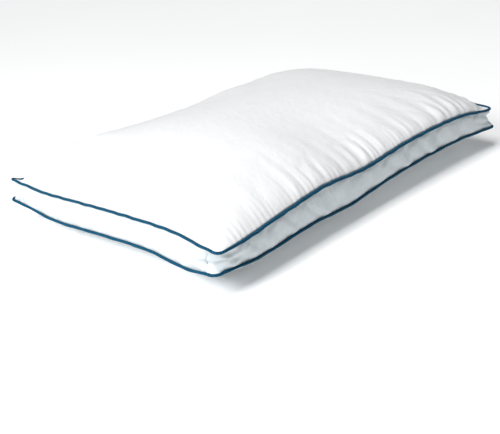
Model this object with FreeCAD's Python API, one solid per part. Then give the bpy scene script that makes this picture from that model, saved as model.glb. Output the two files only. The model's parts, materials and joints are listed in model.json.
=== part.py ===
"""Boxed bed pillow: two crowned panels joined by an upright gusset, with piping in both seams, filled with fibre.

Units are millimetres. +X runs along the length, +Y across the width and +Z up.
The origin is the centre of the flat patch that the pillow rests on.
A seam outline is eight tangent arcs: four sides that bow inwards and four corners.
Every edge piece is a cross-section drawn in (out, up) coordinates and turned about the centre of each arc.
"""

import FreeCAD, Part
import math
import os

V = FreeCAD.Vector
UP = V(0, 0, 1)

# Driving dimensions
LENGTH = 750.0  # between the seam corners along X
WIDTH = 500.0  # between the seam corners along Y
GUSSET_HEIGHT = 50.0  # from seam to seam
CROWN_ABOVE = 60.0  # top of the pillow over the upper seam
CROWN_BELOW = 36.0  # lower seam over the resting surface
LONG_BOW = 10.0  # how far the middle of a long side is pulled in
SHORT_BOW = 3.0
CORNER_RADIUS = 16.0
GUSSET_BULGE = 4.2  # how far the gusset swells out between its seams

# Cloth and trim
CLOTH = 0.6
ALLOWANCE = 10.0  # seam allowance, turned inwards
FOLD_SET_BACK = 0.5  # panel fold inside the seam line
TAPE = 0.4
SLIT = 0.1  # between the two tails of the piping tape
CORD_RADIUS = 1.85
COVER_INNER_RADIUS = 2.0
COVER_RADIUS = COVER_INNER_RADIUS + TAPE + 0.1
PIPING_OUT = 2.6  # piping centre outside the seam line
THREAD_RADIUS = 0.2
THREAD_IN = 3.0  # seam thread inside the seam line
LAYER = 0.5  # from the seam level to the first cloth layer
CLEARANCE = 0.4

# Gusset joins, near the corners on the short ends
JOIN_FROM_CORNER = 22.0
JOIN_GAP = 0.4

# Closing stitches on the back long side
STITCH_LENGTH = 3.2
STITCH_PITCH = 4.4
STITCH_COUNT = 52
STITCH_UP = 5.0  # over the lower seam
STITCH_RADIUS = 0.3

# Care label, folded tape hanging from the upper seam at the +X end
LABEL_WIDTH = 28.0
LABEL_DROP = 40.0
LABEL_THICKNESS = 0.5
LABEL_TILT = 10.0  # degrees out from straight down, where it leans on the gusset
LABEL_HINGE_OUT = 1.8
LABEL_HINGE_BELOW = 3.2
LABEL_ROLL_RADIUS = 0.45

# Places worked out from the above
HALF_X, HALF_Y = LENGTH / 2, WIDTH / 2
LOWER_SEAM = CROWN_BELOW
UPPER_SEAM = LOWER_SEAM + GUSSET_HEIGHT
TOP_BASE = UPPER_SEAM + LAYER + CLOTH  # where the top panel's crown starts
BOTTOM_BASE = LOWER_SEAM - LAYER - CLOTH

# Crown shape
SECTIONS = 16  # outlines from the rim to the flat middle of each panel
TOP_MIDDLE_INSET = 205.0  # seam line to the flat middle
BOTTOM_MIDDLE_INSET = 155.0
CROWN_POWER = 2.6
CROWN_FULLNESS = 0.62
END_TAPER = 1.15  # sections shrink this much faster along X
CORNER_GROWTH = 0.8  # corner radius gained per millimetre of inset
RIM_DROP = 2.0  # how far lofts run past the rim before they are trimmed


class OutlineArc:
    """One arc of a seam outline. Angles run the way the outline does, counter-clockwise round the pillow."""

    def __init__(self, centre, radius, first, last, outward):
        self.centre, self.radius = centre, radius
        self.first, self.last = first, last
        self.outward = outward  # 1 where the arc swells out, -1 where it bows in

    def at(self, angle, out, z):
        reach = self.radius + self.outward * out
        return self.centre + V(reach * math.cos(angle), reach * math.sin(angle), z)

    def edge(self, out, z):
        middle = (self.first + self.last) / 2
        points = [self.at(a, out, z) for a in (self.first, middle, self.last)]
        return Part.Arc(*points).toShape()

    def turned(self, profile):
        """The solid that a cross-section sweeps along this arc."""
        start = min(self.first, self.last)
        face = profile(lambda out, z: self.at(start, out, z))
        sweep = math.degrees(abs(self.last - self.first))
        solid = face.revolve(self.centre, UP, sweep)
        if solid.Volume < 0:
            solid.reverse()
        return solid


def side_circle(half_length, half_gap, bow):
    """Centre distance, radius and side of the circle of one bowed side."""
    inwards = 1 if bow > 0 else -1
    radius = (half_length**2 + bow**2) / (2 * abs(bow))
    return half_gap - bow + inwards * radius, radius, inwards


def angle_of(point, centre):
    return math.atan2(point.y - centre.y, point.x - centre.x)


def outline(half_x, half_y, long_bow, short_bow, corner):
    """Eight tangent arcs through the sides of a bowed rectangle, starting with the +X side."""
    long_d, long_r, long_in = side_circle(half_x, half_y, long_bow)
    short_d, short_r, short_in = side_circle(half_y, half_x, short_bow)
    reach_long, reach_short = long_r + long_in * corner, short_r + short_in * corner
    long_c, short_c = V(0, long_d, 0), V(short_d, 0, 0)
    between = short_c - long_c
    span = between.Length
    along = (reach_long**2 - reach_short**2 + span**2) / (2 * span)
    across = math.sqrt(reach_long**2 - along**2)
    unit = between / span
    foot = long_c + unit * along
    sideways = V(-unit.y, unit.x, 0) * across
    ideal = V(half_x, half_y, 0)
    middle = min((foot + sideways, foot - sideways), key=lambda p: (p - ideal).Length)
    on_long = long_c + (middle - long_c) * (long_r / reach_long)
    on_short = short_c + (middle - short_c) * (short_r / reach_short)

    def mirrored(p, sx, sy):
        return V(p.x * sx, p.y * sy, 0)

    arcs = []
    quarters = [(1, -1), (1, 1), (-1, 1), (-1, -1)]
    for k, (sx, sy) in enumerate(quarters):
        nx, ny = quarters[(k + 1) % 4]
        on_side = on_short if k % 2 == 0 else on_long
        side_c = mirrored(short_c if k % 2 == 0 else long_c, nx if k % 2 == 0 else 1, ny)
        radius, inwards = (short_r, short_in) if k % 2 == 0 else (long_r, long_in)
        first = angle_of(mirrored(on_side, sx, sy), side_c)
        last = angle_of(mirrored(on_side, nx, ny), side_c)
        arcs.append(OutlineArc(side_c, radius, *nearest(first, last), -inwards))
        centre = mirrored(middle, nx, ny)
        before, after = (on_short, on_long) if k % 2 == 0 else (on_long, on_short)
        first = angle_of(mirrored(before, nx, ny), centre)
        last = angle_of(mirrored(after, nx, ny), centre)
        arcs.append(OutlineArc(centre, corner, *nearest(first, last), 1))
    return arcs


def nearest(first, last):
    """The same two angles, with the last within half a turn of the first."""
    while last - first > math.pi:
        last -= 2 * math.pi
    while first - last > math.pi:
        last += 2 * math.pi
    return first, last


SEAM = outline(HALF_X, HALF_Y, LONG_BOW, SHORT_BOW, CORNER_RADIUS)
RIGHT_SIDE, BACK_SIDE, LEFT_SIDE = SEAM[0], SEAM[2], SEAM[4]


def joined(solids):
    first, rest = solids[0], solids[1:]
    return first.multiFuse(rest).removeSplitter() if rest else first


def ring(profile):
    """A cross-section taken all the way round the seam."""
    return joined([arc.turned(profile) for arc in SEAM])


def outline_wire(arcs, out, z):
    return Part.Wire([arc.edge(out, z) for arc in arcs])


def slab(out, low, high):
    """A flat solid with the seam's outline, offset outwards."""
    face = Part.Face(outline_wire(SEAM, out, low))
    return face.extrude(V(0, 0, high - low))


def polygon(place, corners):
    points = [place(out, z) for out, z in corners]
    return Part.Face(Part.makePolygon(points + points[:1]))


def rectangle(inner, outer, low, high):
    def profile(place):
        return polygon(place, [(inner, low), (outer, low), (outer, high), (inner, high)])

    return profile


def circle(out, z, radius):
    def profile(place):
        def at(turn):
            angle = math.radians(turn)
            return place(out + radius * math.cos(angle), z + radius * math.sin(angle))

        halves = [Part.Arc(at(a), at(a + 90), at(a + 180)).toShape() for a in (0, 180)]
        return Part.Face(Part.Wire(halves))

    return profile


# Crowned panels


def crown_height(inset, height, flat_inset):
    """Height over the rim at an inset, and the slope angle there."""

    def rise(d):
        share = max(0.0, 1 - d / flat_inset)
        return height * (1 - share**CROWN_POWER) ** CROWN_FULLNESS

    step = 0.01
    slope = (rise(inset + step) - rise(inset)) / step
    return rise(inset), math.atan(slope) if inset > 0 else math.pi / 2


def keep_bowed(bow):
    """A bow is never zero, so that every section has arcs on all sides."""
    least = 0.5
    return bow if abs(bow) >= least else math.copysign(least, bow)


def crown_section(inset):
    half_x, half_y = HALF_X - END_TAPER * inset, HALF_Y - inset
    long_bow = keep_bowed(LONG_BOW - 0.12 * inset)
    short_bow = keep_bowed(SHORT_BOW - 0.10 * inset)
    corner = min(CORNER_RADIUS + CORNER_GROWTH * inset, 0.9 * half_y)
    return outline(half_x, half_y, long_bow, short_bow, corner)


def crown(height, middle_inset, flat_inset, thickness, side):
    """A closed dome on the seam outline. Thickness insets it evenly; side is 1 for the top, -1 for the bottom."""
    base = TOP_BASE if side > 0 else BOTTOM_BASE
    rim = -FOLD_SET_BACK - thickness
    wires = [outline_wire(SEAM, rim, base - side * RIM_DROP)]
    for k in range(SECTIONS + 1):
        inset = middle_inset * (1 - math.cos(math.pi / 2 * k / SECTIONS))
        rise, slope = crown_height(inset, height, flat_inset)
        out = -FOLD_SET_BACK - thickness * math.sin(slope)
        z = base + side * (rise - thickness * math.cos(slope))
        wires.append(outline_wire(crown_section(inset), out, z))
    return Part.makeLoft(wires, True, True)


def top_crown(thickness):
    height = CROWN_ABOVE - LAYER - CLOTH
    return crown(height, TOP_MIDDLE_INSET, HALF_Y, thickness, 1)


def bottom_crown(thickness):
    height = CROWN_BELOW - LAYER - CLOTH
    return crown(height, BOTTOM_MIDDLE_INSET, BOTTOM_MIDDLE_INSET, thickness, -1)


def half_space(z, side):
    """A big box above (1) or below (-1) a level."""
    size = 2 * LENGTH
    return Part.makeBox(size, size, size, V(-size / 2, -size / 2, z if side > 0 else z - size))


def panel(dome, base, side):
    """A crowned cloth panel with its seam allowance turned inwards."""
    shell = dome(0).cut(dome(CLOTH)).common(half_space(base, side))
    low, high = sorted((base, base - side * CLOTH))
    turned_in = ring(rectangle(-ALLOWANCE - FOLD_SET_BACK, -FOLD_SET_BACK, low, high))
    return joined([shell, turned_in])


# Gusset strips


def gusset_outer(z):
    """How far out the gusset's outer face is at a level."""
    half = GUSSET_HEIGHT / 2 - LAYER
    middle = (LOWER_SEAM + UPPER_SEAM) / 2
    radius = (half**2 + GUSSET_BULGE**2) / (2 * GUSSET_BULGE)
    drop = radius - math.sqrt(radius**2 - (z - middle) ** 2)
    return GUSSET_BULGE - 0.2 - drop


def gusset_profile(filled):
    """The C-shaped cross-section of a strip, or the same filled in to the allowances' inner edge."""
    low, high = LOWER_SEAM + LAYER, UPPER_SEAM - LAYER
    middle = (low + high) / 2
    inner = -ALLOWANCE - FOLD_SET_BACK

    def profile(place):
        def bend(a, b, c):
            return Part.Arc(place(*a), place(*b), place(*c)).toShape()

        def line(*corners):
            return [Part.makeLine(place(*p), place(*q)) for p, q in zip(corners, corners[1:])]

        top, bottom = (gusset_outer(high), high), (gusset_outer(low), low)
        outer = bend(top, (gusset_outer(middle), middle), bottom)
        if filled:
            edges = [outer] + line(bottom, (inner, low), (inner, high), top)
            return Part.Face(Part.Wire(edges))
        under = (gusset_outer(low) - CLOTH, low + CLOTH)
        over = (gusset_outer(high) - CLOTH, high - CLOTH)
        inside = bend(under, (gusset_outer(middle) - CLOTH, middle), over)
        edges = [outer]
        edges += line(bottom, (inner, low), (inner, low + CLOTH), under)
        edges.append(inside)
        edges += line(over, (inner, high - CLOTH), (inner, high), top)
        return Part.Face(Part.Wire(edges))

    return profile


def end_box(sign, half_width):
    """A box over one short end, between the two joins."""
    depth = 45.0
    x = HALF_X - depth if sign > 0 else -HALF_X - depth
    return Part.makeBox(2 * depth, 2 * half_width, 2 * UPPER_SEAM, V(x, -half_width, 0))


def join_flange(end_arc, sign, y):
    """The upright allowance of a join, one cloth thick, from y towards +Y."""
    filled = end_arc.turned(gusset_profile(filled=True))
    depth, inset = 30.0, CLOTH + CLEARANCE
    low, high = LOWER_SEAM + LAYER + inset, UPPER_SEAM - LAYER - inset
    x = HALF_X - depth / 2 if sign > 0 else -HALF_X - depth / 2
    return filled.common(Part.makeBox(depth, CLOTH, high - low, V(x, y, low)))


def gusset_strips():
    full = ring(gusset_profile(filled=False))
    join = HALF_Y - JOIN_FROM_CORNER
    strips = {}
    long_strips = full
    for name, arc, sign in (("right", RIGHT_SIDE, 1), ("left", LEFT_SIDE, -1)):
        flanges = [
            join_flange(arc, sign, -join + JOIN_GAP / 2),
            join_flange(arc, sign, join - JOIN_GAP / 2 - CLOTH),
        ]
        short = full.common(end_box(sign, join - JOIN_GAP / 2))
        strips["gusset_" + name] = joined([short] + flanges)
        long_strips = long_strips.cut(end_box(sign, join + JOIN_GAP / 2))
    for name, side in (("front", -1), ("back", 1)):
        y = side * (join + JOIN_GAP / 2)
        y = y if side > 0 else y - CLOTH
        flanges = [join_flange(RIGHT_SIDE, 1, y), join_flange(LEFT_SIDE, -1, y)]
        strip = [s for s in long_strips.Solids if s.CenterOfMass.y * side > 0]
        strips["gusset_" + name] = joined(strip + flanges)
    return strips


# Piping, threads and stitches


def piping_cover(seam):
    """Bias tape round the cord, with both tails running into the seam."""
    tail, top = -ALLOWANCE - FOLD_SET_BACK, SLIT / 2 + TAPE

    def profile(place):
        def on(radius, height):
            return PIPING_OUT - math.sqrt(radius**2 - height**2), seam + height

        def round_to(radius, height):
            a, b = on(radius, height), on(radius, -height)
            far = (PIPING_OUT + radius, seam)
            return Part.Arc(place(*a), place(*far), place(*b)).toShape()

        def line(p, q):
            return Part.makeLine(place(*p), place(*q))

        slit = SLIT / 2
        edges = [
            line((tail, seam + top), on(COVER_RADIUS, top)),
            round_to(COVER_RADIUS, top),
            line(on(COVER_RADIUS, -top), (tail, seam - top)),
            line((tail, seam - top), (tail, seam - slit)),
            line((tail, seam - slit), on(COVER_INNER_RADIUS, -slit)),
            round_to(COVER_INNER_RADIUS, -slit),
            line(on(COVER_INNER_RADIUS, slit), (tail, seam + slit)),
            line((tail, seam + slit), (tail, seam + top)),
        ]
        return Part.Face(Part.Wire(edges))

    return ring(profile)


def piping_cord(seam):
    return ring(circle(PIPING_OUT, seam, CORD_RADIUS))


def seam_thread(seam):
    """Needle and bobbin threads, one on each side of the seam's layers."""
    reach = LAYER + CLOTH + THREAD_RADIUS + 0.02
    return [ring(circle(-THREAD_IN, seam + side * reach, THREAD_RADIUS)) for side in (1, -1)]


def gusset_joining_thread():
    """One upright thread on each side of the four gusset joins."""
    solids = []
    join = HALF_Y - JOIN_FROM_CORNER
    off = JOIN_GAP / 2 + CLOTH + THREAD_RADIUS + 0.02
    inset = LAYER + CLOTH + 2 * CLEARANCE
    height = GUSSET_HEIGHT - 2 * inset
    for sx in (1, -1):
        for sy in (1, -1):
            for side in (1, -1):
                foot = V(sx * (HALF_X - 5.0), sy * join + side * off, LOWER_SEAM + inset)
                solids.append(Part.makeCylinder(THREAD_RADIUS, height, foot, UP))
    return solids


def closing_stitches():
    """Edge stitching that closes the filling opening, along the back gusset over the lower seam."""
    z = LOWER_SEAM + STITCH_UP
    out = gusset_outer(z) + STITCH_RADIUS + 0.05
    middle = (BACK_SIDE.first + BACK_SIDE.last) / 2
    solids = []
    for k in range(STITCH_COUNT):
        along = (k - (STITCH_COUNT - 1) / 2) * STITCH_PITCH
        centre = BACK_SIDE.at(middle - along / BACK_SIDE.radius, out, z)
        nearby = BACK_SIDE.at(middle - (along + 1) / BACK_SIDE.radius, out, z)
        direction = (nearby - centre).normalize()
        start = centre - direction * (STITCH_LENGTH / 2)
        solids.append(Part.makeCylinder(STITCH_RADIUS, STITCH_LENGTH, start, direction))
    return solids


# Filling and label


def fibre_fill():
    """The stuffing, clear of the cloth and of the seam allowances."""
    inset = CLOTH + CLEARANCE
    past_threads = LAYER + CLOTH + 2 * THREAD_RADIUS + CLEARANCE
    top, bottom = UPPER_SEAM + past_threads, LOWER_SEAM - past_threads
    inside_allowances = -ALLOWANCE - FOLD_SET_BACK - CLEARANCE
    inside_gusset = gusset_outer(LOWER_SEAM + LAYER) - inset - ALLOWANCE
    return joined(
        [
            top_crown(inset).common(half_space(top, 1)),
            slab(inside_allowances, bottom, top),
            slab(inside_gusset, LOWER_SEAM + past_threads, UPPER_SEAM - past_threads),
            bottom_crown(inset).common(half_space(bottom, -1)),
        ]
    )


def label_hinge():
    """Centre of the label's fold line, at the middle of the +X end."""
    middle = (RIGHT_SIDE.first + RIGHT_SIDE.last) / 2
    return RIGHT_SIDE.at(middle, LABEL_HINGE_OUT, UPPER_SEAM - LABEL_HINGE_BELOW)


def care_label():
    """Blank folded tape, hanging from its fold at the seam."""
    hinge = label_hinge()
    start = hinge - V(0, LABEL_WIDTH / 2, 0)
    roll = Part.makeCylinder(LABEL_ROLL_RADIUS, LABEL_WIDTH, start, V(0, 1, 0))
    corner = start - V(LABEL_THICKNESS / 2, 0, LABEL_DROP)
    flap = Part.makeBox(LABEL_THICKNESS, LABEL_WIDTH, LABEL_DROP, corner)
    flap.rotate(hinge, V(0, -1, 0), LABEL_TILT)
    return roll.fuse(flap).removeSplitter()


def build():
    nodes = {
        "top_panel": panel(top_crown, TOP_BASE, 1),
        "bottom_panel": panel(bottom_crown, BOTTOM_BASE, -1),
        "top_piping_cover": piping_cover(UPPER_SEAM),
        "bottom_piping_cover": piping_cover(LOWER_SEAM),
        "top_piping_cord": piping_cord(UPPER_SEAM),
        "bottom_piping_cord": piping_cord(LOWER_SEAM),
        "top_seam_thread": seam_thread(UPPER_SEAM),
        "bottom_seam_thread": seam_thread(LOWER_SEAM),
        "gusset_joining_thread": gusset_joining_thread(),
        "closing_stitches": closing_stitches(),
        "fibre_fill": fibre_fill(),
        "care_label": care_label(),
    }
    nodes.update(gusset_strips())
    return nodes


def main():
    os.makedirs("parts", exist_ok=True)
    for name, shape in build().items():
        solids = shape if isinstance(shape, list) else shape.Solids
        valid = all(s.isValid() for s in solids)
        volume = sum(s.Volume for s in solids)
        out = solids[0] if len(solids) == 1 else Part.Compound(solids)
        out.exportStep(os.path.join("parts", name + ".step"))
        print(f"{name}: {len(solids)} solids, valid {valid}, {volume / 1000:.1f} cm3")
    hinge = label_hinge()
    print(f"label hinge at {hinge.x:.3f}, {hinge.y:.3f}, {hinge.z:.3f}")


main()
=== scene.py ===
"""Bed pillow: white sateen panels, gusset and blue piping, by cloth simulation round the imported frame.

Lengths in the shape code are in millimetres and are turned into metres when a mesh is made.
"""

import json
import math

import bpy
import numpy as np
from mathutils import Matrix, Vector


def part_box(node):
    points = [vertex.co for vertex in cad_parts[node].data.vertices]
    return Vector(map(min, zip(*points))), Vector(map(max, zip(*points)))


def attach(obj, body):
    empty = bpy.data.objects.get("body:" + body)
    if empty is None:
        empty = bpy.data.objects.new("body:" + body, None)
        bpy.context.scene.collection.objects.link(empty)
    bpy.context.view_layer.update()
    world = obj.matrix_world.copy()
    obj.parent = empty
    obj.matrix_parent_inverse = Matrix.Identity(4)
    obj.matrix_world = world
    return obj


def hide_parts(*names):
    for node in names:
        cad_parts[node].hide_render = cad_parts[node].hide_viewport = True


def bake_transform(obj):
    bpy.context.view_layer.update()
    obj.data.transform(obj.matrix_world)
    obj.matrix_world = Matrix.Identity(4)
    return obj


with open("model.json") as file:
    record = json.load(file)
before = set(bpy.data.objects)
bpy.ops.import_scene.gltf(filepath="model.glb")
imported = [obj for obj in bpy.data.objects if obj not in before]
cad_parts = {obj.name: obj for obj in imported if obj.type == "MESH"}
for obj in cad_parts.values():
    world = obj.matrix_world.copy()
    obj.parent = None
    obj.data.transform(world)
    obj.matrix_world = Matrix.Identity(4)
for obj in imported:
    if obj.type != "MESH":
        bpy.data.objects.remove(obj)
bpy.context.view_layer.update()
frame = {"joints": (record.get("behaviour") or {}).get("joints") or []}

MM = 0.001

# The frame, in millimetres
piping_low, piping_high = (np.array(v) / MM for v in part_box("top_piping_cover"))
PIPING_RADIUS = (piping_high[2] - piping_low[2]) / 2
PIPING_OUT = PIPING_RADIUS + 0.1
TOP_SEAM = (piping_low[2] + piping_high[2]) / 2
BOTTOM_SEAM = (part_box("bottom_piping_cover")[0].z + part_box("bottom_piping_cover")[1].z) / 2 / MM
HALF_X = piping_high[0] - PIPING_OUT - PIPING_RADIUS
HALF_Y = piping_high[1] - PIPING_OUT - PIPING_RADIUS
CROWN_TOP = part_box("top_panel")[1].z / MM
MIDDLE = (TOP_SEAM + BOTTOM_SEAM) / 2
JOIN_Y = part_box("gusset_right")[1].y / MM + 0.2

# Seam loops
CORNER_RADIUS = 8.0
LONG_BOW = 10.0
SHORT_BOW = 3.0
CORNERS = ((-1, -1), (1, -1), (1, 1), (-1, 1))

# How far each seam's corners are pulled sideways, (x, y), in the order of CORNERS
TOP_DRIFT = ((2.7, -2.7), (-0.5, 0.5), (1.5, 1.0), (0.9, -1.0))
BOTTOM_DRIFT = ((-3.8, 3.9), (3.7, -3.8), (-1.0, 2.0), (-2.8, 2.9))

# How the filling fades out towards each corner, (flat length, fade length)
FILL_FADE = ((6, 40), (10, 62), (12, 50), (8, 14))

# The cloth as cut, half sizes
CUT_X = 380.0
CUT_Y = 248.0
CUT_GUSSET = 55.0

# Mesh
CELLS_X = 150
CELLS_Y = 100
GUSSET_ROWS = 10

# Rise of the seams over their level, (place along the side, rise), by side
TOP_RISE = {
    "front": [(-375, -9), (-320, -11), (-230, -5), (-125, 2), (-25, -4), (100, 4), (275, 3), (375, -9)],
    "right": [(-250, -9), (-232, -8), (-200, -5), (-120, -1), (60, 2), (170, -3), (250, -6)],
    "back": [(-375, -4), (-358, -12), (-328, -12), (-290, -3), (-60, 2), (120, -2), (270, 3), (375, -6)],
    "left": [(-250, -9), (-165, 2), (-60, 1), (60, -4), (160, -8), (250, -3)],
}
BOTTOM_RISE = {
    "front": [(-375, 7), (-310, 0), (-150, 2), (-65, -2), (30, 5), (150, 10), (265, 10), (375, 5)],
    "right": [(-250, 5), (-100, 5), (40, 1), (160, 4), (250, 7)],
    "back": [(-375, 8), (-240, 2), (-80, 4), (90, 0), (260, 4), (375, 7)],
    "left": [(-250, 7), (-190, 0), (-100, 5), (20, 0), (140, -5), (250, 8)],
}


def smoothstep(t):
    t = np.clip(t, 0, 1)
    return t * t * (3 - 2 * t)


def along(stations, at):
    """A smooth curve through a few (place, value) stations."""
    places, values = np.array(stations, float).T
    spans = np.diff(places)
    slopes = np.diff(values) / spans
    tangents = np.zeros(len(values))
    tangents[1:-1] = (slopes[:-1] * spans[1:] + slopes[1:] * spans[:-1]) / (spans[1:] + spans[:-1])
    at = np.clip(at, places[0], places[-1])
    k = np.clip(np.searchsorted(places, at) - 1, 0, len(spans) - 1)
    t, h = (at - places[k]) / spans[k], spans[k]
    return (
        (2 * t**3 - 3 * t**2 + 1) * values[k]
        + (t**3 - 2 * t**2 + t) * h * tangents[k]
        + (3 * t**2 - 2 * t**3) * values[k + 1]
        + (t**3 - t**2) * h * tangents[k + 1]
    )


def rounded(u, v, half_x, half_y, radius):
    """The unit square's points on a rectangle with rounded corners."""
    x, y = u * half_x, v * half_y
    a = np.clip((np.abs(x) - half_x + radius) / radius, 0, 1)
    b = np.clip((np.abs(y) - half_y + radius) / radius, 0, 1)
    corner = (a > 0) & (b > 0)
    x = np.where(corner, np.sign(x) * (half_x - radius + radius * a * np.sqrt(1 - b**2 / 2)), x)
    y = np.where(corner, np.sign(y) * (half_y - radius + radius * b * np.sqrt(1 - a**2 / 2)), y)
    return x, y


def coons(rise, x, y, u, v):
    """The four sides' rises carried over the whole panel."""
    front, back = along(rise["front"], x), along(rise["back"], x)
    left, right = along(rise["left"], y), along(rise["right"], y)
    s, t = (u + 1) / 2, (v + 1) / 2
    corners = [[rise["left"][0][1], rise["left"][-1][1]], [rise["right"][0][1], rise["right"][-1][1]]]
    ruled_x = (1 - s) * left + s * right
    ruled_y = (1 - t) * front + t * back
    bilinear = (1 - s) * ((1 - t) * corners[0][0] + t * corners[0][1]) + s * (
        (1 - t) * corners[1][0] + t * corners[1][1]
    )
    return ruled_x + ruled_y - bilinear


def crown(depth, height, reach):
    """Height over the seam at a distance in from it."""
    share = np.clip(1 - depth / reach, 0, 1)
    return height * (1 - share**2.6) ** 0.62


def gathers(place, depth, seed, density=1.0):
    """Ripples that run in from a seam: fine at the stitching, wider and fainter further in."""
    rng = np.random.default_rng(seed)
    total = np.zeros(np.broadcast(place, depth).shape)
    for wave, reach, size in ((15.0, 30.0, 0.55), (25.0, 65.0, 0.85), (44.0, 95.0, 0.9)):
        knots = np.arange(-420, 2700, 2.4 * wave)
        strength = np.interp(place, knots, 1.8 * rng.uniform(0.05, 1.0, len(knots)) ** 1.7)
        drift = np.interp(place, knots, np.cumsum(rng.normal(0, 0.9, len(knots))))
        lean = np.interp(place, knots, rng.normal(0, 0.18, len(knots)))
        phase = 2 * math.pi * (place + lean * depth) / wave + drift
        fade = np.exp(-((depth / reach) ** 1.5)) * smoothstep(depth / 3.0)
        total += density * size * strength * fade * np.sin(phase)
    return total


def outward(loop):
    """Level unit normals that point out of a closed loop of points."""
    step = np.roll(loop, -1, 0) - np.roll(loop, 1, 0)
    out = np.stack([step[:, 1], -step[:, 0], np.zeros(len(step))], -1)
    return out / np.linalg.norm(out, axis=1)[:, None]


def loop_length(loop):
    """Distance round a loop to each of its points, and the whole of it."""
    steps = np.linalg.norm(np.roll(loop, -1, 0) - loop, axis=1)
    return np.concatenate([[0], np.cumsum(steps)[:-1]]), steps.sum()


def to_one_corner(points, corner):
    """Level distance of points from one of CORNERS."""
    return np.hypot(points[..., 0] - corner[0] * HALF_X, points[..., 1] - corner[1] * HALF_Y)


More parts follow.
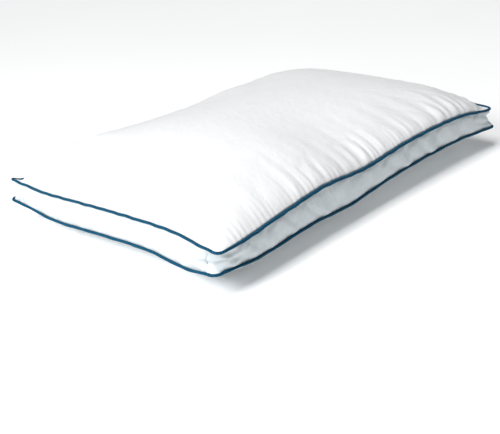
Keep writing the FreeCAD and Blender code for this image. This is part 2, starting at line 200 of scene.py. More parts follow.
class Shell:
    """The simulated cover: two panels and the gusset ring between them, as one closed mesh."""

    def __init__(self):
        u = np.linspace(-1, 1, CELLS_X + 1)
        v = np.linspace(-1, 1, CELLS_Y + 1)
        self.u, self.v = np.meshgrid(u, v, indexing="ij")
        self.count = self.u.size
        self.loop = self.boundary()
        self.cut = rounded(self.u, self.v, CUT_X, CUT_Y, CORNER_RADIUS)
        x, y = rounded(self.u, self.v, HALF_X, HALF_Y, CORNER_RADIUS)
        self.x = x * (1 - SHORT_BOW * (1 - (y / HALF_Y) ** 2) / HALF_X)
        self.y = y * (1 - LONG_BOW * (1 - (x / HALF_X) ** 2) / HALF_Y)
        self.lower_x, self.lower_y = self.drifted(BOTTOM_DRIFT)
        self.x, self.y = self.drifted(TOP_DRIFT)
        self.depth_x = (1 - np.abs(self.u)) * HALF_X
        self.depth_y = (1 - np.abs(self.v)) * HALF_Y

    def drifted(self, pulls):
        """The panel's points with each corner pulled sideways."""
        x, y = self.x.copy(), self.y.copy()
        for (side_x, side_y), (pull_x, pull_y) in zip(CORNERS, pulls):
            near = np.exp(-(np.hypot(x - side_x * HALF_X, y - side_y * HALF_Y) / 60.0) ** 2)
            x += pull_x * near
            y += pull_y * near
        return x, y

    def boundary(self):
        def index(i, j):
            return i * (CELLS_Y + 1) + j

        front = [index(i, 0) for i in range(CELLS_X)]
        right = [index(CELLS_X, j) for j in range(CELLS_Y)]
        back = [index(i, CELLS_Y) for i in range(CELLS_X, 0, -1)]
        left = [index(0, j) for j in range(CELLS_Y, 0, -1)]
        return np.array(front + right + back + left)

    def depth(self):
        """Distance in from the nearest seam, rounded off where two sides meet."""
        a, b, blend = self.depth_x, self.depth_y, 60.0
        h = np.clip(0.5 + 0.5 * (b - a) / blend, 0, 1)
        smooth = b * (1 - h) + a * h - blend * h * (1 - h)
        return np.where(np.minimum(a, b) < 1e-6, 0, np.clip(smooth, 0, None))

    def ripples(self, seeds):
        front, right, back, left = seeds
        x, y = self.x, self.y
        to_front, to_back = (1 + self.v) * HALF_Y, (1 - self.v) * HALF_Y
        to_left, to_right = (1 + self.u) * HALF_X, (1 - self.u) * HALF_X
        total = gathers(x, to_front, front, 1.65) + gathers(x, to_back, back)
        total += gathers(y, to_left, left, 0.6) + gathers(y, to_right, right, 0.8)
        return total * smoothstep(np.minimum(self.depth_x, self.depth_y) / 6.0)

    def start(self):
        depth = self.depth()
        top = TOP_SEAM + coons(TOP_RISE, self.x, self.y, self.u, self.v)
        top = top + crown(depth, CROWN_TOP - TOP_SEAM, HALF_Y) + self.ripples((11, 12, 13, 14))
        bottom = BOTTOM_SEAM + coons(BOTTOM_RISE, self.x, self.y, self.u, self.v)
        bottom = bottom - crown(depth, BOTTOM_SEAM, 0.6 * HALF_Y) + self.ripples((21, 22, 23, 24))
        panels = [
            np.stack([self.x, self.y, top], -1).reshape(-1, 3),
            np.stack([self.lower_x, self.lower_y, bottom], -1).reshape(-1, 3),
        ]
        upper, lower = (p[self.loop] for p in panels)
        out = outward(upper)
        swell = 5.0 - 10.0 * np.exp(-((self.to_corner() / 22.0) ** 2))
        rows = []
        for k in range(1, GUSSET_ROWS):
            t = k / GUSSET_ROWS
            rows.append(upper * (1 - t) + lower * t + out * (4 * t * (1 - t) * swell)[:, None])
        return np.concatenate(panels + rows)

    def to_corner(self):
        """Level distance from the nearest corner, at each point round the seam."""
        x, y = (a.reshape(-1)[self.loop] for a in (self.x, self.y))
        return np.hypot(HALF_X - np.abs(x), HALF_Y - np.abs(y))

    def rest(self):
        """The cut cloth as a box, with the ease gathered into ripples at the seams."""
        x, y = self.cut
        ripple = self.ripples((11, 12, 13, 14)), self.ripples((21, 22, 23, 24))
        half = CUT_GUSSET / 2
        top = np.stack([x, y, MIDDLE + half + ripple[0]], -1).reshape(-1, 3)
        bottom = np.stack([x, y, MIDDLE - half + ripple[1]], -1).reshape(-1, 3)
        upper, lower = top[self.loop], bottom[self.loop]
        out = outward(np.stack([x, y, x], -1).reshape(-1, 3)[self.loop])
        place = loop_length(top[self.loop] * [1, 1, 0])[0]
        rows = []
        for k in range(1, GUSSET_ROWS):
            t = k / GUSSET_ROWS
            puckers = gathers(place, t * CUT_GUSSET, 15, 0.6)
            puckers += gathers(place, (1 - t) * CUT_GUSSET, 16, 0.6)
            rows.append(upper + (lower - upper) * t + out * puckers[:, None])
        return np.concatenate([top, bottom] + rows)

    def sag(self, panel, side):
        """How far a panel falls behind its own seam just inside it, at each point round the seam."""
        grid = panel.reshape(CELLS_X + 1, CELLS_Y + 1, 3)
        i, j = self.loop // (CELLS_Y + 1), self.loop % (CELLS_Y + 1)
        fall = np.zeros(len(self.loop))
        for step in (1, 2, 3):
            inner = grid[np.clip(i, step, CELLS_X - step), np.clip(j, step, CELLS_Y - step)]
            fall = np.maximum(fall, side * (grid[i, j] - inner)[:, 2])
        spread = [np.roll(fall, k) for k in range(-3, 4)]
        return np.max(spread, axis=0)

    def gusset_rows(self):
        n, p = self.count, len(self.loop)
        inner = [2 * n + np.arange(p) + p * k for k in range(GUSSET_ROWS - 1)]
        return [self.loop] + inner + [self.loop + n]

    def faces(self):
        top = grid_faces(CELLS_X + 1, CELLS_Y + 1)
        bottom = top[:, ::-1] + self.count
        rows = self.gusset_rows()
        sides = [
            np.stack([up, down, np.roll(down, -1), np.roll(up, -1)], -1)
            for up, down in zip(rows, rows[1:])
        ]
        return np.concatenate([top, bottom] + sides)


# Cloth simulation
FRAMES = 44
PRESSURE = 3.5
STIFFNESS = {"tension": 15.0, "compression": 15.0, "shear": 5.0, "bending": 0.3}


def point_group(ob, name, weights):
    group = ob.vertex_groups.new(name=name)
    for level in np.unique(np.round(weights, 2)):
        if level > 0:
            members = np.nonzero(np.round(weights, 2) == level)[0]
            group.add(members.tolist(), float(level), "REPLACE")
    return group.name


def new_object(name, points, faces):
    mesh = bpy.data.meshes.new(name)
    mesh.from_pydata((np.asarray(points) * MM).tolist(), [], np.asarray(faces).tolist())
    mesh.update()
    ob = bpy.data.objects.new(name, mesh)
    bpy.context.scene.collection.objects.link(ob)
    return ob


def points_of(mesh):
    co = np.zeros(len(mesh.vertices) * 3, np.float32)
    mesh.vertices.foreach_get("co", co)
    return co.reshape(-1, 3).astype(float) / MM


def simulate(shell):
    """Blows the cut cloth up between the fixed seams, and returns its points."""
    start = shell.start()
    ob = new_object("cover", start, shell.faces())
    ob.shape_key_add(name="start")
    cut = ob.shape_key_add(name="cut")
    cut.data.foreach_set("co", (shell.rest() * MM).astype(np.float32).ravel())
    seams = np.zeros(len(start))
    seams[shell.loop] = seams[shell.loop + shell.count] = 1
    fill = np.ones(len(start))
    for corner, (flat, fade) in zip(CORNERS, FILL_FADE):
        fill *= 0.02 + 0.98 * smoothstep((to_one_corner(start, corner) - flat) / fade)
    cloth = ob.modifiers.new("cloth", "CLOTH")
    s = cloth.settings
    s.quality = 5
    s.rest_shape_key = cut
    s.vertex_group_mass = point_group(ob, "seams", seams)
    s.vertex_group_pressure = point_group(ob, "fill", fill)
    s.use_pressure = True
    s.uniform_pressure_force = PRESSURE
    for kind, value in STIFFNESS.items():
        setattr(s, kind + "_stiffness", value)
    s.effector_weights.gravity = 0
    cloth.collision_settings.use_collision = False
    cloth.collision_settings.use_self_collision = False
    cloth.point_cache.frame_start, cloth.point_cache.frame_end = 1, FRAMES
    scene = bpy.context.scene
    scene.frame_start, scene.frame_end = 1, FRAMES
    for number in range(1, FRAMES + 1):
        scene.frame_set(number)
    points = points_of(ob.evaluated_get(bpy.context.evaluated_depsgraph_get()).data)
    bpy.data.objects.remove(ob)
    scene.frame_set(1)
    return points


# The share of its height that the crown sinks by
SINK = 0.16

# Where the filling has shifted: x, y, size of the place, rise
FILLING_SHIFTS = (
    (-325, 205, 50, 9),
    (-235, 200, 50, 6),
    (100, 195, 60, 7),
    (292, 190, 45, -6),
    (332, -195, 36, -6),
    (-352, 232, 20, 12),
)

# Rounds of smoothing, over the panel by the front corner and over the gusset at all its corners
PANEL_PASSES = 14
GUSSET_PASSES = 50

# How far the gusset is drawn in and how deep it folds, at each of CORNERS
PINCHES = (2.5, 8.0, 6.0, 4.0)
FOLDS = (4.6, 4.5, 3.6, 2.8)


def settle_panel(shell, top):
    """Lets the filling shift and sink, and calms the cloth by the front corner."""
    height = top[:, 2] - TOP_SEAM
    rise = -SINK * height * smoothstep(height / 60)
    for x, y, size, lift in FILLING_SHIFTS:
        rise += lift * np.exp(-(np.hypot(top[:, 0] - x, top[:, 1] - y) / size) ** 2)
    free = smoothstep(np.minimum(shell.depth_x, shell.depth_y).ravel() / 30)
    top[:, 2] += rise * free

    grid = top.reshape(CELLS_X + 1, CELLS_Y + 1, 3)
    calm = 0.9 * np.exp(-(to_one_corner(grid, CORNERS[0]) / 120) ** 2)
    for _ in range(PANEL_PASSES):
        around = (grid[:-2, 1:-1] + grid[2:, 1:-1] + grid[1:-1, :-2] + grid[1:-1, 2:]) / 4
        grid[1:-1, 1:-1] += calm[1:-1, 1:-1, None] * (around - grid[1:-1, 1:-1])


def fold_gusset(shell, points):
    """Folds, puckers and draws in the gusset, most at its corners."""
    rows = np.array(shell.gusset_rows())
    upper = points[rows[0]]
    out, place = outward(upper), loop_length(upper)[0]
    pinch = np.zeros(len(upper))
    turn = np.zeros(len(upper))
    folds = np.zeros((GUSSET_ROWS + 1, len(upper)))
    levels = np.arange(GUSSET_ROWS + 1)[:, None] / GUSSET_ROWS
    for corner, size, deep in zip(CORNERS, PINCHES, FOLDS):
        to_corner = to_one_corner(upper, corner)
        pinch += size * np.exp(-((to_corner / 17) ** 2))
        turn += 0.06 * np.exp(-((to_corner / 16) ** 2))
        fan = np.sin(2 * math.pi * (2.7 * levels + 0.012 * to_corner + 0.3 * corner[1]))
        folds += deep * fan * np.exp(-((to_corner / 42) ** 2)) * smoothstep(to_corner / 8)
    turn += np.exp(-((to_one_corner(upper, CORNERS[0]) / 34) ** 2))
    for k in range(1, GUSSET_ROWS):
        t = k / GUSSET_ROWS
        middle = 4 * t * (1 - t)
        notch = 1.6 * middle**5 - 1.2 * middle
        row = points[rows[k]]
        for _ in range(GUSSET_PASSES):
            around = (np.roll(row, 1, 0) + np.roll(row, -1, 0)) / 2
            row += np.clip(turn * middle, 0, 0.9)[:, None] * (around - row)
        slant = 40 * t
        puckers = gathers(0.6 * (place + slant), t * CUT_GUSSET, 15, 1.15)
        puckers += gathers(0.6 * (place - slant), (1 - t) * CUT_GUSSET, 16, 1.15)
        points[rows[k]] = row + out * (puckers + middle * folds[k] - notch * pinch)[:, None]


def rest_on_floor(points, soften=3.0):
    """Presses what would go through the floor flat against it."""
    z = points[..., 2]
    pressed = soften * np.exp(np.minimum(z, soften) / soften - 1)
    points[..., 2] = np.where(z < soften, pressed, z)
    return points


def grid_faces(rows, columns):
    """Quads of a grid of points, numbered row by row."""
    i, j = np.meshgrid(np.arange(rows - 1), np.arange(columns - 1), indexing="ij")
    a = (i * columns + j).ravel()
    return np.stack([a, a + columns, a + columns + 1, a + 1], -1)


def add_values(mesh, name, values):
    values = np.asarray(values, np.float32)
    kind = "FLOAT_VECTOR" if values.ndim == 2 else "FLOAT"
    attribute = mesh.attributes.new(name, kind, "POINT")
    attribute.data.foreach_set("vector" if values.ndim == 2 else "value", values.ravel())


def values_of(mesh, name):
    out = np.zeros(len(mesh.vertices), np.float32)
    mesh.attributes[name].data.foreach_get("value", out)
    return out


def normals_of(mesh):
    out = np.zeros(len(mesh.vertices) * 3, np.float32)
    mesh.vertices.foreach_get("normal", out)
    return out.reshape(-1, 3)


def move_points(mesh, points):
    mesh.vertices.foreach_set("co", (points * MM).astype(np.float32).ravel())
    mesh.update()


def crease(mesh, folded, amount):
    """Sharpens the edges whose two points are both folded."""
    ends = np.zeros(len(mesh.edges) * 2, np.int32)
    mesh.edges.foreach_get("vertices", ends)
    sharp = folded[ends.reshape(-1, 2)].all(1) * amount
    attribute = mesh.attributes.new("crease_edge", "FLOAT", "EDGE")
    attribute.data.foreach_set("value", sharp.astype(np.float32))


def subdivided(ob):
    """Applies one level of subdivision surface, so that only plain mesh is left."""
    modifier = ob.modifiers.new("smooth", "SUBSURF")
    modifier.levels = modifier.render_levels = 1
    mesh = bpy.data.meshes.new_from_object(ob.evaluated_get(bpy.context.evaluated_depsgraph_get()))
    ob.modifiers.clear()
    old, ob.data = ob.data, mesh
    bpy.data.meshes.remove(old)
    return ob


def smooth_shaded(ob):
    ob.data.shade_smooth()
    return ob


def ripple_finely(ob, strength=1.0):
    """Small puckers that the coarse simulation can't hold, close to the stitching."""
    mesh = ob.data
    points = points_of(mesh)
    along_seam, depth = values_of(mesh, "along_seam"), values_of(mesh, "seam_depth")
    rng = np.random.default_rng(5)
    total = np.zeros(len(points))
    strength = strength * corner_room(points)[:, 0]
    for wave, reach, size in ((6.5, 10.0, 0.26), (11.0, 20.0, 0.42)):
        knots = np.arange(-3000, 3001, 2.0 * wave)
        uneven = np.interp(along_seam, knots, rng.uniform(0, 1.4, len(knots)))
        drift = np.interp(along_seam, knots, np.cumsum(rng.normal(0, 1.0, len(knots))))
        shape = smoothstep(depth / 1.5) * np.exp(-np.clip(depth, 0, None) / reach)
        total += strength * size * uneven * shape * np.sin(2 * math.pi * along_seam / wave + drift)
    move_points(mesh, points + normals_of(mesh) * total[:, None])
    return ob


# Seam layers: how deep the allowance and its stitching lie, how far each layer is below the seam,
# and how sharp a folded edge is
ALLOWANCE = 8.0
STITCH_IN = 2.5
PANEL_LAYER = 0.35
TAPE_LAYER = 0.9
GUSSET_LAYER = 1.5
CREASED = 0.55
UP = np.array([0, 0, 1.0])


def corner_room(points):
    """The share of a full seam allowance that fits, which is less at the corners."""
    to_corner = np.hypot(HALF_X - np.abs(points[..., 0]), HALF_Y - np.abs(points[..., 1]))
    return (0.15 + 0.85 * smoothstep((to_corner - 6) / 50))[..., None]


def layer_gap(room):
    """How far apart the layers of a seam lie, as a share of the full gap."""
    return 0.35 + 0.65 * room


def panel(name, shell, points, side):
    """One crowned panel with its seam allowance turned in. Side is 1 for the top, -1 for the bottom."""
    loop = points[shell.loop]
    out = outward(loop)
    room = corner_room(loop)
    fall = PANEL_LAYER * layer_gap(room) + room * shell.sag(points, side)[:, None]
    down = -side * UP * fall
    tucks = [loop - out * STITCH_IN * room + 0.6 * down, loop - out * ALLOWANCE * room + down]
    grid = grid_faces(CELLS_X + 1, CELLS_Y + 1)
    n, p = shell.count, len(loop)
    ring = np.arange(p)
    under = [shell.loop, n + ring, n + p + ring]
    turned = [
        np.stack([a, np.roll(a, -1), np.roll(b, -1), b], -1)[:, ::-1]
        for a, b in zip(under, under[1:])
    ]
    faces = np.concatenate([grid] + turned)
    if side < 0:
        faces = faces[:, ::-1]
    ob = new_object(name, np.concatenate([points] + tucks), faces)
    cut = np.stack([shell.cut[0].ravel(), shell.cut[1].ravel(), np.zeros(n)], -1)
    cut = np.concatenate([cut, cut[shell.loop], cut[shell.loop]])
    add_values(ob.data, "cut", cut)
    depth = np.minimum(shell.depth_x, shell.depth_y).ravel()
    add_values(ob.data, "seam_depth", np.concatenate([depth, np.full(p, -2.5), np.full(p, -9.0)]))
    by_end = shell.depth_x < shell.depth_y
    near = np.where(by_end, shell.y + 900 * np.sign(shell.x), shell.x).ravel()
    add_values(ob.data, "along_seam", np.concatenate([near, near[shell.loop], near[shell.loop]]))
    folded = np.zeros(len(ob.data.vertices), bool)
    folded[shell.loop] = True
    crease(ob.data, folded, CREASED)
    return smooth_shaded(ripple_finely(subdivided(ob)))


def gusset_strip(name, rows, out, place, sags):
    """One gusset strip between two joins, with all four edges turned in."""
    above, below = corner_room(rows[0]), corner_room(rows[-1])
    fall, climb = (
        UP * (GUSSET_LAYER * layer_gap(room) + sag[:, None])
        for room, sag in zip((above, below), sags)
    )
    upper = [rows[0] - out * reach * above - fall for reach in (ALLOWANCE, STITCH_IN)]
    lower = [rows[-1] - out * reach * below + climb for reach in (STITCH_IN, ALLOWANCE)]
    grid = np.array(upper + list(rows) + lower)
    heights = np.linspace(0, CUT_GUSSET, len(rows))
    turned = np.array([STITCH_IN, ALLOWANCE])
    drop = np.concatenate([-turned[::-1], heights, CUT_GUSSET + turned])
    dip = 0.9
    ends = []
    for end, nxt in ((0, 1), (-1, -2)):
        edge = grid[:, end] - out[end] * dip
        grid[:, end] = edge
        tangent = grid[:, nxt] - grid[:, end]
        tangent /= np.linalg.norm(tangent, axis=1)[:, None]
        level = np.array([1.0, 1.0, 0.82])
        middle = edge[2:-2].mean(0) * [0, 0, 0.18]
        flap = edge * level + middle
        ends.append(
            [flap - out[end] * reach + tangent * shift for reach, shift in ((2.0, 0.5), (6.0, 0.8))]
        )
    first, last = ends
    grid = np.concatenate([np.stack(first[::-1], 1), grid, np.stack(last, 1)], axis=1)
    run = np.concatenate([[place[0] - 8, place[0] - 2], place, [place[-1] + 2, place[-1] + 8]])
    ob = new_object(name, grid.reshape(-1, 3), grid_faces(*grid.shape[:2]))
    far, deep = np.meshgrid(run, drop)
    add_values(ob.data, "cut", np.stack([far.ravel(), deep.ravel(), np.zeros(far.size)], -1))
    to_edge = np.minimum(deep, CUT_GUSSET - deep)
    add_values(ob.data, "seam_depth", to_edge.ravel())
    add_values(ob.data, "along_seam", (far + 40 * (deep > CUT_GUSSET / 2)).ravel())
    to_join = np.minimum(far - place[0], place[-1] - far)
    folded = (np.abs(to_edge) < 1e-6) | (np.abs(to_join) < 1e-6)
    crease(ob.data, folded.ravel(), CREASED)
    return smooth_shaded(ripple_finely(subdivided(ob), 0.35))


def resample(loop, spacing):
    """Evenly spaced points round a closed loop, on a smooth curve, and the distance to each."""
    place, whole = loop_length(loop[:, :3])
    count = int(round(whole / spacing))
    at = np.arange(count) * whole / count
    padded = np.concatenate([place - whole, place, place + whole])
    triple = np.concatenate([loop, loop, loop])
    points = np.stack([np.interp(at, padded, triple[:, k]) for k in range(loop.shape[1])], -1)
    for _ in range(int(6 / spacing) ** 2 // 2):
        points = (np.roll(points, 1, 0) + 2 * points + np.roll(points, -1, 0)) / 4
    return points, at


def sweep(name, path, profile):
    """A mesh skin along a closed path. The profile gives (out, up) points for each place, in rings."""
    out = outward(path)
    rings = path[:, None] + out[:, None] * profile[..., :1] + UP * profile[..., 1:]
    n, m = profile.shape[:2]
    i, j = np.meshgrid(np.arange(n), np.arange(m - 1), indexing="ij")
    i, j, k = i.ravel(), j.ravel(), (i.ravel() + 1) % n
    faces = np.stack([i * m + j, i * m + j + 1, k * m + j + 1, k * m + j], -1)
    return new_object(name, rings.reshape(-1, 3), faces)


def wander(at, whole, seed, size, waves):
    """A smooth random drift that closes on itself."""
    rng = np.random.default_rng(seed)
    total = np.zeros(len(at))
    for wave in waves:
        count = max(1, int(round(whole / wave)))
        total += rng.normal(0, size) * np.sin(2 * math.pi * count * at / whole + rng.uniform(0, 6.3))
    return total


def piping_path(loop, sag, seed):
    path, at = resample(np.column_stack([loop, sag]), 0.9)
    path, sag = path[:, :3], path[:, 3]
    whole = at[-1] + at[1]
    waves = (173, 97, 61, 43, 29)
    out = outward(path)
    path = path + out * (PIPING_OUT + wander(at, whole, seed, 0.11, waves))[:, None]
    path[:, 2] += wander(at, whole, seed + 1, 0.11, waves)
    return path, at, sag


def piping_cover(name, path, at, sag, side, seed):
    """Bias tape round the cord, with two tails that run into the seam. The cord's twist shows."""
    turns = np.linspace(math.radians(172), math.radians(-172), 17)
    twist = np.sin(2 * math.pi * at[:, None] / 3.3 + 1.4 * turns)
    uneven = wander(at, at[-1] + at[1], seed, 0.04, (83, 47))[:, None]
    radius = PIPING_RADIUS - 0.3 + 0.10 * twist + uneven
    tube = np.stack([radius * np.cos(turns), radius * np.sin(turns)], -1)
    room = corner_room(path)
    reach = np.concatenate([-2.5 - 8.0 * room, -2.5 - 2.0 * room], 1)
    gap = layer_gap(room)
    level = -side * (TAPE_LAYER * gap + sag[:, None] * [1.0, 0.5])
    upper = np.stack([reach, level + 0.25 * gap], -1)
    lower = np.stack([reach, level - 0.25 * gap], -1)[:, ::-1]
    profile = np.concatenate([upper, tube, lower], 1)
    ob = sweep(name, path, profile)
    width = profile.shape[1]
    around = np.cumsum(np.linalg.norm(np.diff(profile[0], axis=0, prepend=profile[0][:1]), axis=1))
    cut = np.stack([np.repeat(at, width), np.tile(around, len(at)), np.zeros(len(at) * width)], -1)
    add_values(ob.data, "cut", cut)
    return smooth_shaded(ob)


def filler_cord(name, path, at):
    turns = np.linspace(2 * math.pi, 0, 13)
    twist = 2 * math.pi * at[:, None] / 9.0
    radius = 1.55 + 0.22 * np.cos(3 * turns - 3 * twist)
    profile = np.stack([radius * np.cos(turns), radius * np.sin(turns)], -1)
    return smooth_shaded(sweep(name, path[::2], profile[::2]))


def stitches(name, starts, ends, radius):
    """Short thread stitches, each a small rounded bar."""
    starts, ends = np.asarray(starts), np.asarray(ends)
    axis = ends - starts
    length = np.linalg.norm(axis, axis=1)[:, None]
    axis = axis / length
    side = np.cross(axis, np.where(np.abs(axis[:, 2:]) > 0.9, [[1.0, 0, 0]], [[0, 0, 1.0]]))
    side /= np.linalg.norm(side, axis=1)[:, None]
    other = np.cross(axis, side)
    stations = ((0.0, 0.15), (0.12, 0.8), (0.5, 1.0), (0.88, 0.8), (1.0, 0.15))
    around = 6
    points = []
    for share, swell in stations:
        for k in range(around):
            a = 2 * math.pi * k / around
            offset = radius * swell * (side * math.cos(a) + other * math.sin(a))
            points.append(starts + axis * length * share + offset)
    per = len(stations) * around
    points = np.stack(points, 1).reshape(-1, 3)
    one = []
    for r in range(0, per - around, around):
        for k in range(around):
            after = (k + 1) % around
            one.append([r + k, r + after, r + around + after, r + around + k])
    faces = (np.array(one)[None] + per * np.arange(len(starts))[:, None, None]).reshape(-1, 4)
    ob = new_object(name, points, faces)
    return smooth_shaded(ob)


def closing_row(rows, out):
    """Edge stitching along the back gusset, over the filling opening."""
    share = 1 - 5.0 / CUT_GUSSET
    row = share * GUSSET_ROWS
    low = int(row)
    line = rows[low] + (rows[low + 1] - rows[low]) * (row - low) + out * 0.25
    x = line[:, 0]
    order = np.argsort(x)
    starts, ends = [], []
    for k in range(52):
        middle = (k - 25.5) * 4.4
        for reach, into in ((-1.6, starts), (1.6, ends)):
            into.append([np.interp(middle + reach, x[order], line[order, a]) for a in range(3)])
    return stitches("closing_stitches_thread", starts, ends, 0.32)


def seam_row(name, loop, sag, side):
    """Lock stitches on both faces of a piped seam's allowance."""
    path = resample(np.column_stack([loop, sag]), 3.2)[0]
    path, sag = path[:, :3], path[:, 3:]
    room = corner_room(path)
    line = path - outward(path) * 3.0 * (0.3 + 0.7 * room) - side * sag * [0, 0, 1]
    starts, ends = [], []
    for drop in (0.25, 1.7):
        shifted = line - side * drop * layer_gap(room) * [0, 0, 1]
        step = np.roll(shifted, -1, 0) - shifted
        starts.append(shifted + 0.06 * step)
        ends.append(shifted + 0.94 * step)
    return stitches(name, np.concatenate(starts), np.concatenate(ends), 0.2)


def join_rows(name, rows, out, joins):
    """The stitches in the upright joins between gusset strips."""
    starts, ends = [], []
    for column in joins:
        line = rows[:, column] - out[column] * 3.6
        heights = np.arange(2.5, 1000, 2.6)
        run = np.concatenate([[0], np.cumsum(np.linalg.norm(np.diff(line, axis=0), axis=1))])
        heights = heights[heights < run[-1] - 3.5]
        for reach, into in ((0.1, starts), (2.3, ends)):
            into.append(np.stack([np.interp(heights + reach, run, line[:, a]) for a in range(3)], -1))
    return stitches(name, np.concatenate(starts), np.concatenate(ends), 0.2)


def fibre(shell, points):
    """The filling, just inside the cover, lumpy where the fibre clumps, and drawn in at the corners."""
    ob = new_object("fibre_filling", points, shell.faces())
    x, y, z = points.T
    lumps = np.sin(x / 23 + 1.3 * np.sin(y / 31)) * np.sin(y / 19 + 1.1 * np.sin(x / 37)) + np.sin(z / 9)
    inner = points - normals_of(ob.data) * (2.6 + 0.5 * lumps)[:, None]
    to_corner = np.hypot(HALF_X - np.abs(x), HALF_Y - np.abs(y))
    drawn = np.exp(-((to_corner / 26) ** 2))
    inner[:, :2] -= np.sign(points[:, :2]) * 8.0 * drawn[:, None]
    inner[:, 2] += 0.35 * drawn * (MIDDLE - z)
    move_points(ob.data, inner)
    return smooth_shaded(ob)


LABEL_WIDTH = 28.0
LABEL_THICKNESS = 0.5


def care_label(joint, rows, columns):
    """A blank folded tape that hangs from the seam and leans on the gusset."""
    hinge = np.array(joint["pos_m"]) / MM
    low, high = (np.array(v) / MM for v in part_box("care_label"))
    down = np.linspace(0, hinge[2] - low[2] - 1.0, 26)
    tilt = (high[0] - hinge[0] - 0.4) / (hinge[2] - low[2])
    face = hinge[0] + tilt * down
    wall_x, wall_z = rows[:, columns, 0].max(1), rows[:, columns, 2].mean(1)
    wall = np.interp(hinge[2] - down, wall_z[::-1], wall_x[::-1]) + 0.8
    face = np.maximum(face, wall)
    face[0] = hinge[0]
    inside = np.stack([face, hinge[2] - down], -1)
    seam_x, _, seam_z = rows[0, columns].mean(0)
    root = np.array([seam_x, seam_z]) + [[-5.0, -1.6], [-0.2, -1.7], [1.3, -2.4]]
    fold = inside[-1] + np.array([[0.05, -0.35], [0.35, -0.45], [0.55, -0.1]])
    outside = inside[::-1] + [LABEL_THICKNESS, 0]
    profile = np.concatenate([root, inside, fold, outside[:-1], root[::-1] + [0.2, 0.35]])
    across = np.linspace(-1, 1, 15)
    run = np.concatenate([[0], np.cumsum(np.linalg.norm(np.diff(profile, axis=0), axis=1))])
    hang = smoothstep((hinge[2] - profile[:, 1]) / 40)
    curl = 0.9 * hang[:, None] * (across**2 + 0.35 * np.sin(2.2 * across + 0.6))
    x = profile[:, :1] + curl
    y = np.broadcast_to(hinge[1] + across * LABEL_WIDTH / 2, x.shape)
    z = np.broadcast_to(profile[:, 1:], x.shape)
    grid = np.stack([x, y, z], -1)
    ob = new_object("care_label_tape", grid.reshape(-1, 3), grid_faces(*grid.shape[:2]))
    far, deep = np.meshgrid(across * LABEL_WIDTH / 2, run)
    add_values(ob.data, "cut", np.stack([far.ravel(), deep.ravel(), np.zeros(far.size)], -1))
    subdivided(ob)
    smooth_shaded(ob)
    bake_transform(ob)
    return ob


# Materials
class Nodes:
    """A few words for building a node tree."""

    def __init__(self, name):
        self.material = bpy.data.materials.new(name)
        self.material.use_nodes = True
        self.tree = self.material.node_tree
        self.shader = self.tree.nodes["Principled BSDF"]

    def node(self, kind, inputs=(), **settings):
        node = self.tree.nodes.new(kind)
        for key, value in settings.items():
            setattr(node, key, value)
        for key, value in dict(inputs).items():
            if isinstance(value, bpy.types.NodeSocket):
                self.tree.links.new(value, node.inputs[key])
            else:
                node.inputs[key].default_value = value
        return node

    def cut(self, scale=(1, 1, 1), turn=0.0):
        """Coordinates on the cut cloth, in millimetres times scale."""
        at = self.node("ShaderNodeAttribute", attribute_name="cut").outputs["Vector"]
        turned = self.node("ShaderNodeMapping", {"Vector": at, "Rotation": (0, 0, turn)})
        return self.node("ShaderNodeMapping", {"Vector": turned.outputs[0], "Scale": scale}).outputs[0]

    def noise(self, where, scale, detail=3.0, rough=0.5):
        inputs = {"Vector": where, "Scale": scale, "Detail": detail, "Roughness": rough}
        return self.node("ShaderNodeTexNoise", inputs).outputs["Fac"]

    def threads(self, where, period, distortion=0.4):
        """Parallel threads across X, as a height from 0 to 1."""
        inputs = {"Vector": where, "Scale": 0.314 / period, "Distortion": distortion, "Detail": 1.0}
        return self.node("ShaderNodeTexWave", inputs, wave_profile="SIN").outputs["Fac"]

    def maths(self, operation, a, b):
        return self.node("ShaderNodeMath", {0: a, 1: b}, operation=operation).outputs[0]

    def ramp(self, fac, *stops):
        node = self.node("ShaderNodeValToRGB", {"Fac": fac})
        while len(node.color_ramp.elements) < len(stops):
            node.color_ramp.elements.new(0.5)
        for element, (place, colour) in zip(node.color_ramp.elements, stops):
            element.position, element.color = place, (*colour, 1)
        return node.outputs["Color"]

    def spread(self, fac, low, high):
        node = self.node("ShaderNodeMapRange", {"Value": fac, "To Min": low, "To Max": high})
        return node.outputs["Result"]

    def bump(self, *layers):
        """Stacked bumps, each a (height, depth in millimetres)."""
        normal = None
        for height, depth in layers:
            inputs = {"Height": height, "Distance": depth * MM, "Strength": 1.0}
            if normal is not None:
                inputs["Normal"] = normal
            normal = self.node("ShaderNodeBump", inputs).outputs["Normal"]
        self.tree.links.new(normal, self.shader.inputs["Normal"])

    def link(self, **sockets):
        for name, value in sockets.items():
            self.tree.links.new(value, self.shader.inputs[name.replace("_", " ")])

    def fixed(self, **sockets):
        for name, value in sockets.items():
            self.shader.inputs[name.replace("_", " ")].default_value = value


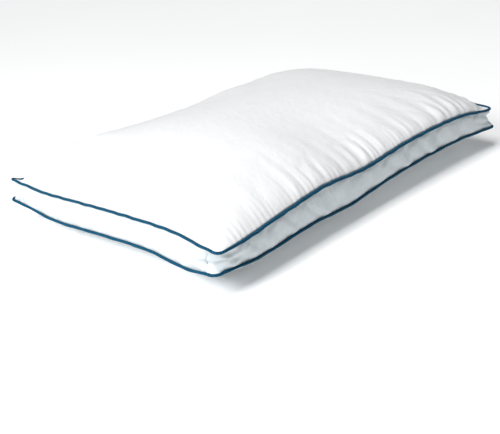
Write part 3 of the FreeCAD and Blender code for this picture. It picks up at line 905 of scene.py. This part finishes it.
def sateen(name, dark, light, crumpled=0.3):
    """White cotton sateen: long floats that catch the light, and a faint mottle."""
    n = Nodes(name)
    warp = n.threads(n.cut(), 0.32)
    weft = n.threads(n.cut((1, 1, 1), math.pi / 2), 0.42)
    weave = n.maths("ADD", n.maths("MULTIPLY", warp, 0.65), n.maths("MULTIPLY", weft, 0.35))
    slub = n.noise(n.cut((0.02, 0.9, 1)), 1.0, 2.0)
    mottle = n.noise(n.cut(), 0.018, 4.0, 0.6)
    crumple = n.noise(n.cut(), 0.11, 4.0, 0.55)
    creases = n.noise(n.cut((1, 0.45, 1), 0.5), 0.045, 3.0, 0.5)
    tone = n.maths("ADD", n.maths("MULTIPLY", mottle, 0.6), n.maths("MULTIPLY", slub, 0.4))
    n.link(Base_Color=n.ramp(tone, (0.25, dark), (0.75, light)))
    n.link(Roughness=n.spread(slub, 0.42, 0.56))
    n.fixed(Sheen_Weight=0.25, Sheen_Roughness=0.35, Specular_IOR_Level=0.35)
    n.bump((creases, 2.5 * crumpled), (crumple, crumpled), (slub, 0.03), (weave, 0.03))
    return n.material


def bias_tape(name):
    """Dark blue cotton tape cut on the bias, so that its threads run slantwise, with a painted highlight
    along the cord's twisted ridges.
    """
    n = Nodes(name)
    ribs = n.threads(n.cut((1, 1, 1), math.radians(38)), 0.5, 0.2)
    cross = n.threads(n.cut((1, 1, 1), math.radians(-52)), 0.45, 0.2)
    twist = n.threads(n.cut((1, 1, 1), math.radians(32)), 2.6, 0.6)
    wear = n.noise(n.cut(), 0.35, 3.0)
    weave = n.maths("ADD", n.maths("MULTIPLY", ribs, 0.6), n.maths("MULTIPLY", cross, 0.4))
    # The tone is lighter along the twist's ridges and darker between them, painted highlight and shade
    # over the cord, mixed with a random worn mottle.
    tone = n.maths("ADD", n.maths("MULTIPLY", twist, 0.55), n.maths("MULTIPLY", wear, 0.45))
    painted_ridge_light_and_wear = (0.2, (0.0, 0.020, 0.055)), (0.55, (0.0, 0.058, 0.118)), (0.9, (0.004, 0.125, 0.215))
    n.link(Base_Color=n.ramp(tone, *painted_ridge_light_and_wear))
    n.link(Roughness=n.spread(weave, 0.65, 0.5))
    n.fixed(Specular_IOR_Level=0.1)
    n.bump((twist, 0.12), (weave, 0.05))
    return n.material


def spun(name, dark, light, period, depth):
    """Twisted yarn: thread and filler cord."""
    n = Nodes(name)
    where = n.node("ShaderNodeTexCoord").outputs["Object"]
    fine = n.node("ShaderNodeMapping", {"Vector": where, "Scale": (1000, 1000, 1000)}).outputs[0]
    fuzz = n.noise(fine, 1.0 / period, 4.0, 0.7)
    n.link(Base_Color=n.ramp(fuzz, (0.3, dark), (0.7, light)))
    n.link(Roughness=n.spread(fuzz, 0.6, 0.85))
    n.fixed(Sheen_Weight=0.2, Specular_IOR_Level=0.3)
    n.bump((fuzz, depth))
    return n.material


def satin_tape(name):
    n = Nodes(name)
    rib = n.threads(n.cut((1, 1, 1), math.pi / 2), 0.5, 0.1)
    fine = n.threads(n.cut(), 0.25, 0.1)
    weave = n.maths("ADD", n.maths("MULTIPLY", rib, 0.7), n.maths("MULTIPLY", fine, 0.3))
    tint = n.noise(n.cut(), 0.15, 3.0)
    n.link(Base_Color=n.ramp(tint, (0.3, (0.78, 0.78, 0.75)), (0.7, (0.86, 0.86, 0.84))))
    n.link(Roughness=n.spread(weave, 0.25, 0.4))
    n.fixed(Sheen_Weight=0.1, Specular_IOR_Level=0.55)
    n.bump((weave, 0.04))
    return n.material


def pale_floor():
    n = Nodes("pale_floor")
    where = n.node("ShaderNodeTexCoord").outputs["Object"]
    tint = n.noise(where, 1.5, 2.0)
    n.link(Base_Color=n.ramp(tint, (0.3, (0.93, 0.935, 0.94)), (0.7, (0.95, 0.955, 0.96))))
    n.fixed(Roughness=0.8, Specular_IOR_Level=0.1)
    n.fixed(Emission_Color=(1, 1, 1, 1), Emission_Strength=0.1)
    return n.material


# Stage
FLOOR_HALF = 60000
AZIMUTH = math.radians(-45.4)
ELEVATION = math.radians(23.9)
ROLL = math.radians(-4.7)
DISTANCE = 1.643
SHIFT_RIGHT, SHIFT_UP = -0.0255, -0.1205
LENS = 64.8


def aimed(ob, place, target):
    ob.location = place
    ob.rotation_euler = (Vector(target) - Vector(place)).to_track_quat("-Z", "Y").to_euler()
    bpy.context.scene.collection.objects.link(ob)


def camera():
    back = Vector(
        (
            math.sin(AZIMUTH) * math.cos(ELEVATION),
            -math.cos(AZIMUTH) * math.cos(ELEVATION),
            math.sin(ELEVATION),
        )
    )
    level = Vector((math.cos(AZIMUTH), math.sin(AZIMUTH), 0))
    upright = back.cross(level)
    right = level * math.cos(ROLL) + upright * math.sin(ROLL)
    up = upright * math.cos(ROLL) - level * math.sin(ROLL)
    place = Vector((0, 0, MIDDLE * MM)) + back * DISTANCE + right * SHIFT_RIGHT + up * SHIFT_UP
    data = bpy.data.cameras.new("camera")
    data.lens, data.sensor_width = LENS, 36
    ob = bpy.data.objects.new("camera", data)
    ob.matrix_world = Matrix.Translation(place) @ Matrix((right, up, back)).transposed().to_4x4()
    bpy.context.scene.collection.objects.link(ob)
    bpy.context.scene.camera = ob


def soft_light(name, kind, place, power, **settings):
    data = bpy.data.lights.new(name, kind)
    data.energy = power
    for key, value in settings.items():
        setattr(data, key, value)
    aimed(bpy.data.objects.new(name, data), place, (0, 0, 0.08))


def studio():
    edge = [[x * FLOOR_HALF, y * FLOOR_HALF, 0] for x, y in CORNERS]
    floor = new_object("floor", edge, [[0, 1, 2, 3]])
    floor.data.materials.append(pale_floor())
    world = bpy.data.worlds.new("studio")
    world.use_nodes = True
    background = world.node_tree.nodes["Background"]
    background.inputs["Color"].default_value = (0.93, 0.97, 1.0, 1)
    background.inputs["Strength"].default_value = 0.22
    bpy.context.scene.world = world
    soft_light("key", "AREA", (-1.9, -0.1, 1.25), 36, shape="DISK", size=0.8)
    soft_light("overhead", "SUN", (-1.1, 0.3, 2.8), 1.95, angle=math.radians(35), color=(1, 0.985, 0.97))
    bpy.context.scene.view_settings.view_transform = "Standard"


def dress(ob, material, node, body="pillow"):
    """Gives a piece its material and body, and hides the CAD node that it stands for."""
    ob.data.materials.clear()
    ob.data.materials.append(material)
    if body:
        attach(ob, body)
    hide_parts(node)


def build():
    shell = Shell()
    points = simulate(shell)
    settle_panel(shell, points[: shell.count])
    fold_gusset(shell, points)
    points = rest_on_floor(points)
    n, whole = shell.count, len(shell.loop)
    rows = points[np.array(shell.gusset_rows())]
    out = outward(rows[0])
    room = corner_room(rows[0])[:, 0]
    sags = room * shell.sag(points[:n], 1), room * shell.sag(points[n : 2 * n], -1)
    cut_loop = np.stack([shell.cut[0].ravel(), shell.cut[1].ravel()], -1)[shell.loop]
    place, length = loop_length(cut_loop)

    white = sateen("white_sateen", (0.80, 0.81, 0.82), (0.86, 0.865, 0.87))
    # The gusset and the bottom panel take the same white sateen painted darker and blue-grey: painted
    # shade for the sides that face away from the light.
    painted_shade_sateen = sateen("gusset_sateen", (0.59, 0.65, 0.675), (0.69, 0.73, 0.75), 0.9)
    blue = bias_tape("blue_bias_tape")
    thread = spun("white_thread", (0.75, 0.76, 0.76), (0.86, 0.86, 0.86), 0.3, 0.04)
    cotton = spun("cotton_cord", (0.62, 0.58, 0.50), (0.78, 0.75, 0.68), 0.5, 0.08)
    fluff = spun("polyester_fibre", (0.82, 0.82, 0.81), (0.92, 0.92, 0.91), 4.0, 0.9)

    padded = [panel("top_panel_cloth", shell, points[:n], 1)]
    dress(padded[0], white, "top_panel")
    padded.append(panel("bottom_panel_cloth", shell, points[n : 2 * n], -1))
    dress(padded[1], painted_shade_sateen, "bottom_panel")

    near = round((HALF_Y - JOIN_Y) / (2 * HALF_Y) * CELLS_Y)
    far = CELLS_Y - near
    left_start = 2 * CELLS_X + CELLS_Y
    joins = [CELLS_X + near, CELLS_X + far, left_start + CELLS_Y - far, left_start + CELLS_Y - near]
    ends = joins + [joins[0] + whole]
    for k, side in enumerate(("right", "back", "left", "front")):
        columns = np.arange(ends[k], ends[k + 1] + 1)
        run = place[columns % whole] + length * (columns // whole)
        around = columns % whole
        edge_sags = [sag[around] for sag in sags]
        strip = gusset_strip(f"gusset_{side}_cloth", rows[:, around], out[around], run, edge_sags)
        dress(strip, painted_shade_sateen, f"gusset_{side}")
        padded.append(strip)

    seams = ("top", rows[0], sags[0], 1, 31), ("bottom", rows[-1], sags[1], -1, 41)
    for seam, loop, sag, side, seed in seams:
        path, at, tape_sag = piping_path(loop, sag, seed)
        tape = piping_cover(f"{seam}_piping_tape", path, at, tape_sag, side, seed)
        dress(tape, blue, f"{seam}_piping_cover")
        dress(filler_cord(f"{seam}_piping_core", path, at), cotton, f"{seam}_piping_cord")
        dress(seam_row(f"{seam}_seam_stitches", loop, sag, side), thread, f"{seam}_seam_thread")
    dress(join_rows("gusset_join_stitches", rows, out, joins), thread, "gusset_joining_thread")
    dress(closing_row(rows, out), thread, "closing_stitches")
    padded.append(fibre(shell, points))
    dress(padded[-1], fluff, "fibre_fill")

    middle = CELLS_X + CELLS_Y // 2
    label = care_label(frame["joints"][0], rows, np.arange(middle - 4, middle + 5))
    dress(label, satin_tape("label_satin"), "care_label", body=None)


camera()
studio()
build()
